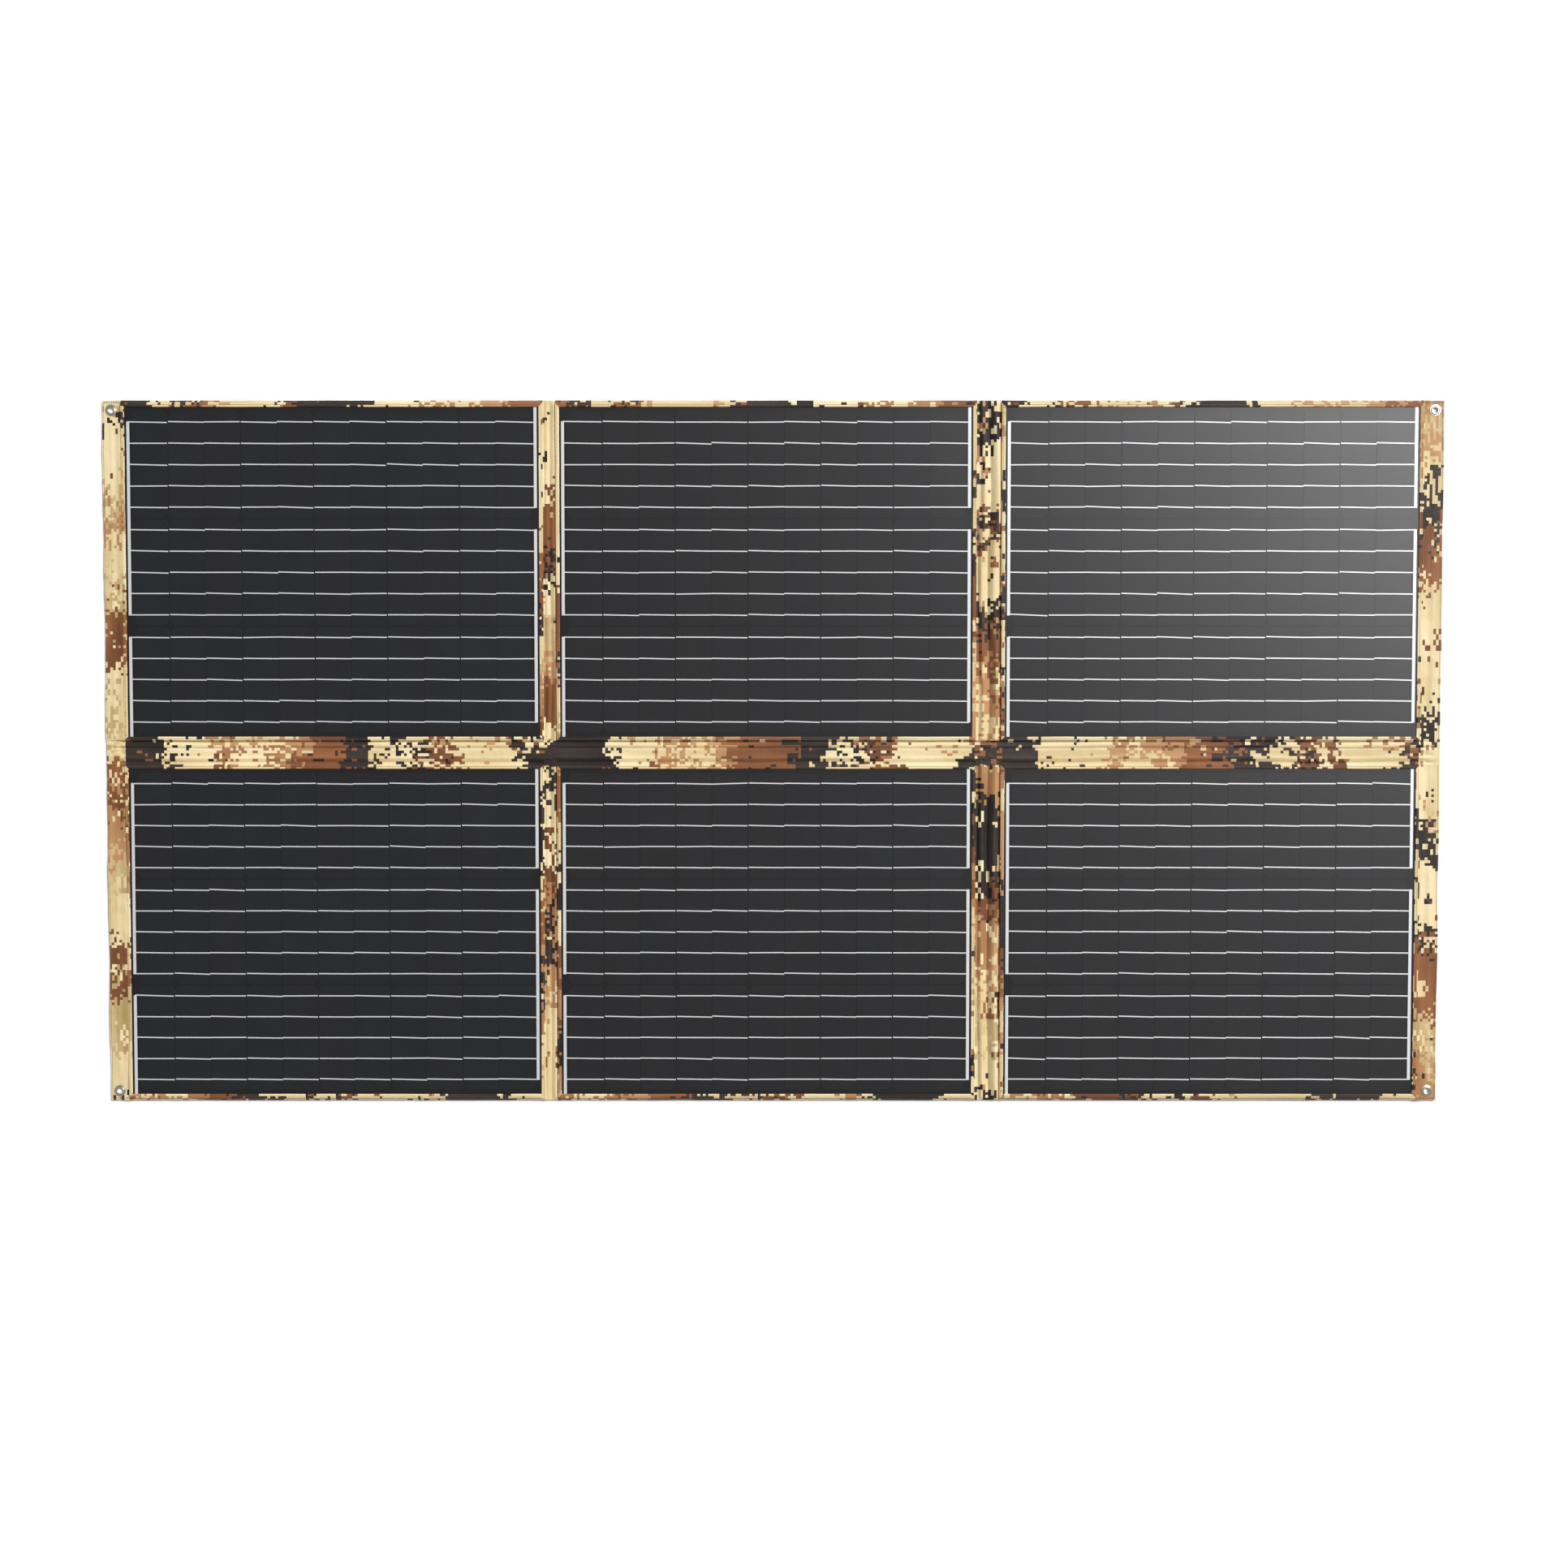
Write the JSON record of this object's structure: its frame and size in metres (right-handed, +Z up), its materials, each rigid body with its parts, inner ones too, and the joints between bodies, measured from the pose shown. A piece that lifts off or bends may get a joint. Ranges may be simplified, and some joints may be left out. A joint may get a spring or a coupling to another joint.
{
  "type": "folding solar blanket",
  "caption": "Cloth carrier with stiff solar panels in rows and columns, folding flat into a pack, with corner eyelets and carry handles.",
  "frame": {"origin": "on the ground, under the middle of the opened blanket", "axes": "+X along the long side, +Y from the lower row to the upper row, +Z up, out of the cells' faces"},
  "size_m": [1.983, 1.0406, 0.0067],
  "materials": {
    "camo_cloth": "woven polyester with a desert pixel print",
    "solar_cells": "monocrystalline cells in clear resin",
    "front_film": "clear satin film over dark cells",
    "backing_board": "glass-fibre board",
    "terminal_cover": "potted moulded cover",
    "bus_cable": "flat flexible cable",
    "gland_rubber": "moulded rubber",
    "eyelet_metal": "nickel-plated, lightly worn",
    "webbing": "woven polypropylene webbing"
  },
  "bodies": {
    "panel_left_lower": {"back_cloth_left_lower": "camo_cloth", "backing_board_left_lower": "backing_board", "terminal_cover_left_lower": "terminal_cover", "cell_laminate_left_lower": "solar_cells", "front_film_left_lower": "front_film", "front_border_left_lower": "camo_cloth", "side_flap_left_lower": "camo_cloth", "eyelet_left_lower": "eyelet_metal"},
    "panel_middle_lower": {"back_cloth_middle_lower": "camo_cloth", "backing_board_middle_lower": "backing_board", "terminal_cover_middle_lower": "terminal_cover", "cell_laminate_middle_lower": "solar_cells", "front_film_middle_lower": "front_film", "front_border_middle_lower": "camo_cloth", "fold_strip_left_lower": "camo_cloth", "fold_strip_right_lower": "camo_cloth"},
    "panel_right_lower": {"back_cloth_right_lower": "camo_cloth", "backing_board_right_lower": "backing_board", "terminal_cover_right_lower": "terminal_cover", "cell_laminate_right_lower": "solar_cells", "front_film_right_lower": "front_film", "front_border_right_lower": "camo_cloth", "side_flap_right_lower": "camo_cloth", "eyelet_right_lower": "eyelet_metal"},
    "panel_left_upper": {"back_cloth_left_upper": "camo_cloth", "backing_board_left_upper": "backing_board", "terminal_cover_left_upper": "terminal_cover", "cell_laminate_left_upper": "solar_cells", "front_film_left_upper": "front_film", "front_border_left_upper": "camo_cloth", "side_flap_left_upper": "camo_cloth", "eyelet_left_upper": "eyelet_metal"},
    "panel_middle_upper": {"back_cloth_middle_upper": "camo_cloth", "backing_board_middle_upper": "backing_board", "terminal_cover_middle_upper": "terminal_cover", "cell_laminate_middle_upper": "solar_cells", "front_film_middle_upper": "front_film", "front_border_middle_upper": "camo_cloth", "fold_strip_left_upper": "camo_cloth", "fold_strip_right_upper": "camo_cloth"},
    "panel_right_upper": {"back_cloth_right_upper": "camo_cloth", "backing_board_right_upper": "backing_board", "terminal_cover_right_upper": "terminal_cover", "cell_laminate_right_upper": "solar_cells", "front_film_right_upper": "front_film", "front_border_right_upper": "camo_cloth", "side_flap_right_upper": "camo_cloth", "eyelet_right_upper": "eyelet_metal"},
    "spine_middle": {"spine_strip_middle_back": "camo_cloth", "spine_strip_middle_front": "camo_cloth", "output_gland": "gland_rubber", "bus_cable_middle": "bus_cable", "fold_crossing_left": "camo_cloth", "fold_crossing_right": "camo_cloth"},
    "spine_left": {"spine_strip_left": "camo_cloth", "bus_cable_left": "bus_cable"},
    "spine_right": {"spine_strip_right": "camo_cloth", "bus_cable_right": "bus_cable"},
    "carry_handle_lower": {"handle_lower": "webbing"},
    "carry_handle_upper": {"handle_upper": "webbing"}
  },
  "joints": [
    {"name": "fold_left", "type": "hinge", "parent": "panel_middle_lower", "child": "panel_left_lower", "pos_m": [-0.3315, -0.267, 0.0071], "axis": [0, 1, 0], "range_deg": [0, 179.98], "deforming": ["fold_strip_left_lower"]},
    {"name": "fold_left_spine", "type": "hinge", "parent": "spine_middle", "child": "spine_left", "pos_m": [-0.3315, 0, 0.0071], "axis": [0, 1, 0], "range_deg": [0, 179.98], "deforming": ["fold_crossing_left", "bus_cable_left", "bus_cable_middle", "spine_strip_left"]},
    {"name": "fold_left_upper", "type": "hinge", "parent": "panel_middle_upper", "child": "panel_left_upper", "pos_m": [-0.3315, 0.267, 0.0071], "axis": [0, 1, 0], "range_deg": [0, 179.98], "deforming": ["fold_strip_left_upper"]},
    {"name": "fold_right", "type": "hinge", "parent": "panel_middle_lower", "child": "panel_right_lower", "pos_m": [0.3195, -0.267, 0.0102], "axis": [0, -1, 0], "range_deg": [0, 179.98], "deforming": ["fold_strip_right_lower"]},
    {"name": "fold_right_spine", "type": "hinge", "parent": "spine_middle", "child": "spine_right", "pos_m": [0.3195, 0, 0.0102], "axis": [0, -1, 0], "range_deg": [0, 179.98], "deforming": ["fold_crossing_right", "bus_cable_right", "spine_strip_right"]},
    {"name": "fold_right_upper", "type": "hinge", "parent": "panel_middle_upper", "child": "panel_right_upper", "pos_m": [0.3195, 0.267, 0.0102], "axis": [0, -1, 0], "range_deg": [0, 179.98], "deforming": ["fold_strip_right_upper"]},
    {"name": "spine_lower_crease", "type": "hinge", "parent": "panel_middle_lower", "child": "spine_middle", "pos_m": [-0.0105, -0.0165, 0.0032], "axis": [1, 0, 0], "range_deg": [0, 90]},
    {"name": "spine_upper_crease", "type": "hinge", "parent": "spine_middle", "child": "panel_middle_upper", "pos_m": [-0.0105, 0.0165, 0.0032], "axis": [1, 0, 0], "range_deg": [0, 90]},
    {"name": "handle_lower_swing", "type": "hinge", "parent": "panel_middle_lower", "child": "carry_handle_lower", "pos_m": [-0.0105, -0.5033, 0.0007], "axis": [-1, 0, 0], "range_deg": [0, 170]},
    {"name": "handle_upper_swing", "type": "hinge", "parent": "panel_middle_upper", "child": "carry_handle_upper", "pos_m": [-0.0105, 0.5033, 0.0007], "axis": [1, 0, 0], "range_deg": [0, 170]}
  ],
  "couplings": [
    {"joint": "fold_left_spine", "follows": "fold_left", "ratio": 1},
    {"joint": "fold_left_upper", "follows": "fold_left", "ratio": 1},
    {"joint": "fold_right_spine", "follows": "fold_right", "ratio": 1},
    {"joint": "fold_right_upper", "follows": "fold_right", "ratio": 1},
    {"joint": "spine_upper_crease", "follows": "spine_lower_crease", "ratio": 1}
  ]
}
